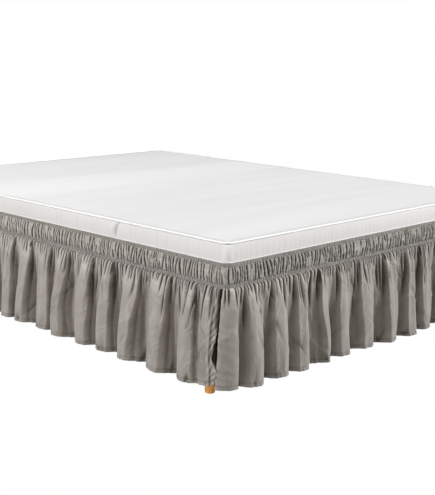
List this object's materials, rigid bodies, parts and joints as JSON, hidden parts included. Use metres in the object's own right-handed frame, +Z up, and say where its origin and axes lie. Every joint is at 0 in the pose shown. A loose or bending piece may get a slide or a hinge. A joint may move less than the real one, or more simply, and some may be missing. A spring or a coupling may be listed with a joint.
{
  "type": "bed skirt on a bed",
  "caption": "Gathered bed skirt with a shirred heading between two elastic bands, split at the foot corners and fitted round a slatted bed with a thin mattress.",
  "frame": {"origin": "The bottom centre of the bounding box, on the floor under the bed", "axes": "+X across the bed, seen from its foot; +Y from the foot to the head; +Z up"},
  "size_m": [1.66, 2.1033, 0.5164],
  "materials": {
    "skirt_cloth": "matt",
    "elastic": "matt",
    "mattress_cloth": "matt",
    "wood": "satin"
  },
  "bodies": {
    "root": {"ruffle_left": "skirt_cloth", "ruffle_foot": "skirt_cloth", "ruffle_right": "skirt_cloth", "shirred_heading": "skirt_cloth", "elastic_upper": "elastic", "elastic_lower": "elastic", "mattress": "mattress_cloth", "piping_upper": "mattress_cloth", "piping_lower": "mattress_cloth", "side_rail_left": "wood", "side_rail_right": "wood", "foot_rail": "wood", "head_rail": "wood", "ledger_left": "wood", "ledger_right": "wood", "centre_beam": "wood", "leg_centre": "wood", "block_foot_left": "wood", "block_foot_right": "wood", "block_head_left": "wood", "block_head_right": "wood", "leg_foot_left": "wood", "leg_foot_right": "wood", "leg_head_left": "wood", "leg_head_right": "wood", "slat_01": "wood", "slat_02": "wood", "slat_03": "wood", "slat_04": "wood", "slat_05": "wood", "slat_06": "wood", "slat_07": "wood", "slat_08": "wood", "slat_09": "wood", "slat_10": "wood", "slat_11": "wood", "slat_12": "wood"}
  },
  "joints": []
}
